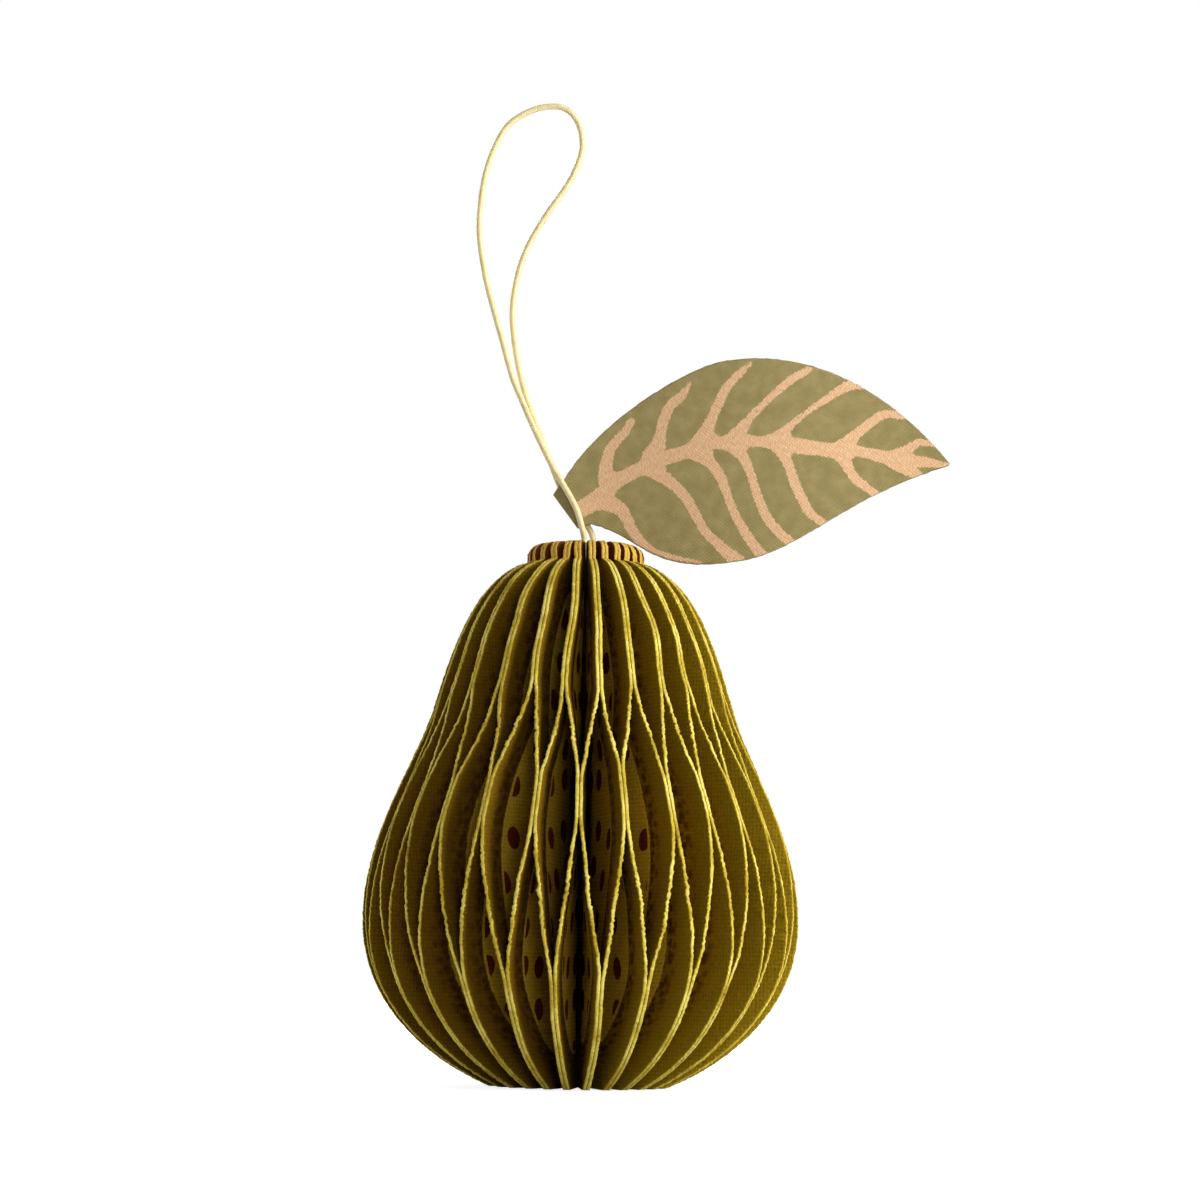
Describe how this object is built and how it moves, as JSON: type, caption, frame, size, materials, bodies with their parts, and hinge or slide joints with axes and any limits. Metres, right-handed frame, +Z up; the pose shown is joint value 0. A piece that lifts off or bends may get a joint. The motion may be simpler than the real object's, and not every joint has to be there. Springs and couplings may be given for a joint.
{
  "type": "honeycomb paper ornament",
  "caption": "Pear-shaped honeycomb ornament of thick cotton-paper pages glued by turns round a spine, with a paper leaf and a thin cord loop to hang it by",
  "frame": {"origin": "on the pear's axis, at the level of the flat foot that it stands on", "axes": "+Z up along the pear's axis, -Y toward the viewer of the picture, +X toward the leaf's tip"},
  "size_m": [0.0855, 0.0633, 0.1464],
  "materials": {
    "page_paper": "matte cotton paper, printed, with torn yellow edges",
    "spine_board": "matte",
    "cord": "satin",
    "leaf_paper": "matte cotton paper with metallic veins"
  },
  "bodies": {
    "root": {"page_01": "page_paper", "page_02": "page_paper", "page_03": "page_paper", "page_04": "page_paper", "page_05": "page_paper", "page_06": "page_paper", "page_07": "page_paper", "page_08": "page_paper", "page_09": "page_paper", "page_10": "page_paper", "page_11": "page_paper", "page_12": "page_paper", "page_13": "page_paper", "page_14": "page_paper", "page_15": "page_paper", "page_16": "page_paper", "page_17": "page_paper", "page_18": "page_paper", "page_19": "page_paper", "page_20": "page_paper", "page_21": "page_paper", "page_22": "page_paper", "page_23": "page_paper", "page_24": "page_paper", "page_25": "page_paper", "page_26": "page_paper", "page_27": "page_paper", "page_28": "page_paper", "page_29": "page_paper", "page_30": "page_paper", "page_31": "page_paper", "page_32": "page_paper", "page_33": "page_paper", "page_34": "page_paper", "page_35": "page_paper", "page_36": "page_paper", "page_37": "page_paper", "page_38": "page_paper", "page_39": "page_paper", "page_40": "page_paper", "page_41": "page_paper", "page_42": "page_paper", "page_43": "page_paper", "page_44": "page_paper", "page_45": "page_paper", "page_46": "page_paper", "page_47": "page_paper", "page_48": "page_paper", "page_49": "page_paper", "page_50": "page_paper", "page_51": "page_paper", "page_52": "page_paper", "page_53": "page_paper", "page_54": "page_paper", "spine_core": "spine_board", "hanging_cord": "cord", "leaf": "leaf_paper"}
  },
  "joints": []
}
